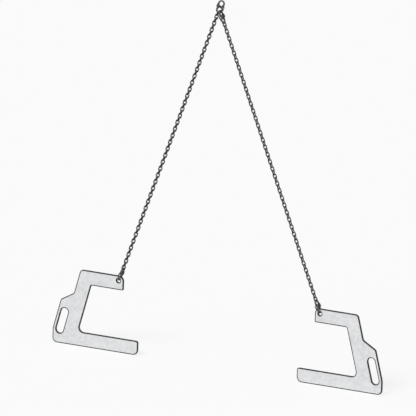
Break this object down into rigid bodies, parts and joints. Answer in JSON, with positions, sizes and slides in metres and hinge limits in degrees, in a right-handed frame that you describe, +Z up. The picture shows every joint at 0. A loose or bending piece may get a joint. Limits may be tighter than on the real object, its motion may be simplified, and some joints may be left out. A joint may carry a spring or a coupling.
{
  "type": "pipe sling",
  "caption": "Two-leg chain sling for lifting pipes: a coupling link as the eye, chain legs joined to it, and a C-shaped steel hook plate with a hand slot on each leg.",
  "frame": {"origin": "bearing point of the eye: the inner crown of the top coupling's upper half", "axes": "+Z up, +X along the sling towards the right hook, +Y through the hook plates, away from the front"},
  "size_m": [2.3212, 0.05, 2.3927],
  "materials": {
    "plate": "galvanised",
    "chain": "dark tempered",
    "coupling": "forged",
    "pin": "ground"
  },
  "bodies": {
    "top_eye": {"top_coupling_upper_half": "coupling", "top_coupling_load_pin": "pin", "top_coupling_sleeve": "pin"},
    "top_bow": {"top_coupling_lower_half": "coupling"},
    "left_chain_1": {"left_chain_1": "chain"},
    "left_chain_2": {"left_chain_2": "chain"},
    "left_chain_3": {"left_chain_3": "chain"},
    "left_chain_4": {"left_chain_4": "chain"},
    "left_chain_5": {"left_chain_5": "chain"},
    "left_chain_6": {"left_chain_6": "chain"},
    "left_chain_7": {"left_chain_7": "chain"},
    "left_chain_8": {"left_chain_8": "chain"},
    "left_hook_link": {"left_hook_coupling_upper_half": "coupling", "left_hook_coupling_load_pin": "pin", "left_hook_coupling_sleeve": "pin"},
    "left_hook_bow": {"left_hook_coupling_lower_half": "coupling"},
    "left_hook": {"left_hook": "plate"},
    "right_leg_link": {"right_leg_coupling_upper_half": "coupling", "right_leg_coupling_load_pin": "pin", "right_leg_coupling_sleeve": "pin"},
    "right_leg_bow": {"right_leg_coupling_lower_half": "coupling"},
    "right_chain_1": {"right_chain_1": "chain"},
    "right_chain_2": {"right_chain_2": "chain"},
    "right_chain_3": {"right_chain_3": "chain"},
    "right_chain_4": {"right_chain_4": "chain"},
    "right_chain_5": {"right_chain_5": "chain"},
    "right_chain_6": {"right_chain_6": "chain"},
    "right_chain_7": {"right_chain_7": "chain"},
    "right_chain_8": {"right_chain_8": "chain"},
    "right_hook_link": {"right_hook_coupling_upper_half": "coupling", "right_hook_coupling_load_pin": "pin", "right_hook_coupling_sleeve": "pin"},
    "right_hook_bow": {"right_hook_coupling_lower_half": "coupling"},
    "right_hook": {"right_hook": "plate"}
  },
  "joints": [
    {"name": "top_fold", "type": "hinge", "parent": "top_eye", "child": "top_bow", "pos_m": [-0.01178, 0, -0.03402], "axis": [0.9449, 0, -0.3272], "range_deg": [-60, 60]},
    {"name": "left_leg_swing", "type": "hinge", "parent": "top_bow", "child": "left_chain_1", "pos_m": [-0.0236, 0, -0.06347], "axis": [0, 1, 0], "range_deg": [-10, 40]},
    {"name": "left_chain_bend_2", "type": "hinge", "parent": "left_chain_1", "child": "left_chain_2", "pos_m": [-0.09427, 0, -0.26758], "axis": [0.9449, 0, -0.3272], "range_deg": [-45, 45]},
    {"name": "left_chain_sway_3", "type": "hinge", "parent": "left_chain_2", "child": "left_chain_3", "pos_m": [-0.17552, 0, -0.50221], "axis": [0, -1, 0], "range_deg": [-45, 15]},
    {"name": "left_chain_bend_4", "type": "hinge", "parent": "left_chain_3", "child": "left_chain_4", "pos_m": [-0.25134, 0, -0.72116], "axis": [-0.9449, 0, 0.3272], "range_deg": [-45, 45]},
    {"name": "left_chain_sway_5", "type": "hinge", "parent": "left_chain_4", "child": "left_chain_5", "pos_m": [-0.33259, 0, -0.95579], "axis": [0, 1, 0], "range_deg": [-15, 45]},
    {"name": "left_chain_bend_6", "type": "hinge", "parent": "left_chain_5", "child": "left_chain_6", "pos_m": [-0.40327, 0, -1.1599], "axis": [0.9449, 0, -0.3272], "range_deg": [-45, 45]},
    {"name": "left_chain_sway_7", "type": "hinge", "parent": "left_chain_6", "child": "left_chain_7", "pos_m": [-0.47908, 0, -1.37884], "axis": [0, -1, 0], "range_deg": [-45, 15]},
    {"name": "left_chain_bend_8", "type": "hinge", "parent": "left_chain_7", "child": "left_chain_8", "pos_m": [-0.56033, 0, -1.61347], "axis": [-0.9449, 0, 0.3272], "range_deg": [-45, 45]},
    {"name": "left_hook_coupling_bend", "type": "hinge", "parent": "left_chain_8", "child": "left_hook_link", "pos_m": [-0.63886, 0, -1.84026], "axis": [0.9449, 0, -0.3272], "range_deg": [-45, 45]},
    {"name": "left_hook_coupling_fold", "type": "hinge", "parent": "left_hook_link", "child": "left_hook_bow", "pos_m": [-0.64924, 0, -1.87022], "axis": [0, 1, 0], "range_deg": [-40, 40]},
    {"name": "left_hook_swing", "type": "hinge", "parent": "left_hook_bow", "child": "left_hook", "pos_m": [-0.66448, 0, -1.91424], "axis": [0, 1, 0], "range_deg": [-60, 25]},
    {"name": "right_leg_swing", "type": "hinge", "parent": "top_bow", "child": "right_leg_link", "pos_m": [-0.01402, 0, -0.05967], "axis": [0, -1, 0], "range_deg": [-10, 40]},
    {"name": "right_leg_coupling_fold", "type": "hinge", "parent": "right_leg_link", "child": "right_leg_bow", "pos_m": [0.00188, 0, -0.098], "axis": [0, 1, 0], "range_deg": [-30, 15]},
    {"name": "right_chain_bend_1", "type": "hinge", "parent": "right_leg_bow", "child": "right_chain_1", "pos_m": [0.01402, 0, -0.12729], "axis": [0.9237, 0, 0.3831], "range_deg": [-45, 45]},
    {"name": "right_chain_sway_2", "type": "hinge", "parent": "right_chain_1", "child": "right_chain_2", "pos_m": [0.09678, 0, -0.3268], "axis": [0, 1, 0], "range_deg": [-45, 15]},
    {"name": "right_chain_bend_3", "type": "hinge", "parent": "right_chain_2", "child": "right_chain_3", "pos_m": [0.19192, 0, -0.55615], "axis": [-0.9237, 0, -0.3831], "range_deg": [-45, 45]},
    {"name": "right_chain_sway_4", "type": "hinge", "parent": "right_chain_3", "child": "right_chain_4", "pos_m": [0.27468, 0, -0.75567], "axis": [0, -1, 0], "range_deg": [-15, 45]},
    {"name": "right_chain_bend_5", "type": "hinge", "parent": "right_chain_4", "child": "right_chain_5", "pos_m": [0.36345, 0, -0.96969], "axis": [0.9237, 0, 0.3831], "range_deg": [-45, 45]},
    {"name": "right_chain_sway_6", "type": "hinge", "parent": "right_chain_5", "child": "right_chain_6", "pos_m": [0.45859, 0, -1.19904], "axis": [0, 1, 0], "range_deg": [-45, 15]},
    {"name": "right_chain_bend_7", "type": "hinge", "parent": "right_chain_6", "child": "right_chain_7", "pos_m": [0.54135, 0, -1.39856], "axis": [-0.9237, 0, -0.3831], "range_deg": [-45, 45]},
    {"name": "right_chain_sway_8", "type": "hinge", "parent": "right_chain_7", "child": "right_chain_8", "pos_m": [0.63013, 0, -1.61257], "axis": [0, -1, 0], "range_deg": [-15, 45]},
    {"name": "right_hook_coupling_bend", "type": "hinge", "parent": "right_chain_8", "child": "right_hook_link", "pos_m": [0.72526, 0, -1.84193], "axis": [0.9237, 0, 0.3831], "range_deg": [-45, 45]},
    {"name": "right_hook_coupling_fold", "type": "hinge", "parent": "right_hook_link", "child": "right_hook_bow", "pos_m": [0.73741, 0, -1.87121], "axis": [0, -1, 0], "range_deg": [-40, 40]},
    {"name": "right_hook_swing", "type": "hinge", "parent": "right_hook_bow", "child": "right_hook", "pos_m": [0.75526, 0, -1.91424], "axis": [0, -1, 0], "range_deg": [-60, 25]}
  ]
}
